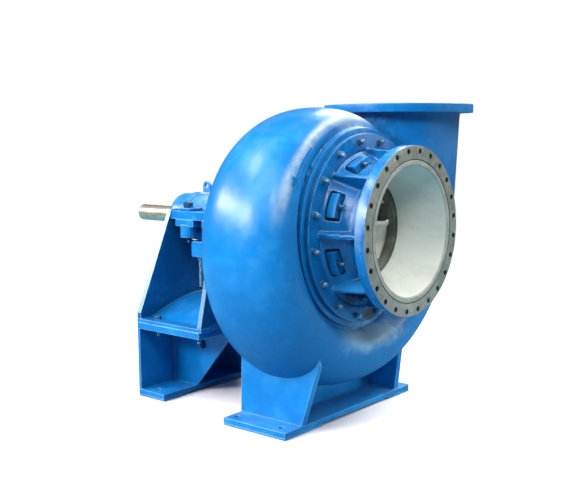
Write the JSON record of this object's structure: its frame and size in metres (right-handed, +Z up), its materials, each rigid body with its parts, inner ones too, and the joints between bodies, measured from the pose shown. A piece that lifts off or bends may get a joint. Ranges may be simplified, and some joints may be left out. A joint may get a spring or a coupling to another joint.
{
  "type": "horizontal slurry pump on welded feet",
  "caption": "Large horizontal centrifugal slurry pump with a scroll casing, ribbed suction barrel, bearing bracket and welded feet.",
  "frame": {"origin": "on the ground under the middle of the whole pump's box", "axes": "+Z up, +Y along the shaft from the suction flange to the drive end, +X towards the discharge side"},
  "size_m": [2.2153, 2.373, 1.962],
  "materials": {
    "blue_paint": "semi-gloss enamel, lightly worn",
    "grey_iron": "as cast, dusty",
    "pale_liner": "pale grey primer over hard iron, satin",
    "bright_steel": "turned, with a yellowish film of oil"
  },
  "bodies": {
    "pump": {"volute_casing": "blue_paint", "front_cover": "blue_paint", "throat_liner": "pale_liner", "back_cover": "blue_paint", "seal_housing": "blue_paint", "gland": "grey_iron", "distance_bar_1": "blue_paint", "distance_bar_2": "blue_paint", "distance_bar_3": "blue_paint", "distance_bar_4": "blue_paint", "bearing_housing": "blue_paint", "drive_end_cap": "blue_paint", "pump_end_cap": "blue_paint", "lifting_eye": "blue_paint", "bracket_deck": "blue_paint", "bracket_plate_drive": "blue_paint", "bracket_plate_pump": "blue_paint", "rail_left": "blue_paint", "rail_right": "blue_paint", "side_beam_left": "blue_paint", "side_beam_right": "blue_paint", "clamp_1": "blue_paint", "clamp_2": "blue_paint", "clamp_3": "blue_paint", "clamp_4": "blue_paint", "frame_top": "blue_paint", "frame_back": "blue_paint", "frame_web_left": "blue_paint", "frame_web_right": "blue_paint", "frame_base": "blue_paint", "frame_pad_left": "blue_paint", "frame_pad_right": "blue_paint", "foot_base": "blue_paint", "foot_pad_left": "blue_paint", "foot_pad_right": "blue_paint", "foot_plate_left": "blue_paint", "foot_plate_right": "blue_paint", "foot_web": "blue_paint"},
    "rotor": {"impeller": "grey_iron", "shaft": "bright_steel"}
  },
  "joints": [
    {"name": "shaft_turn", "type": "hinge", "parent": "pump", "child": "rotor", "pos_m": [-0.1727, 0, 1.197], "axis": [0, 1, 0], "continuous": true}
  ]
}
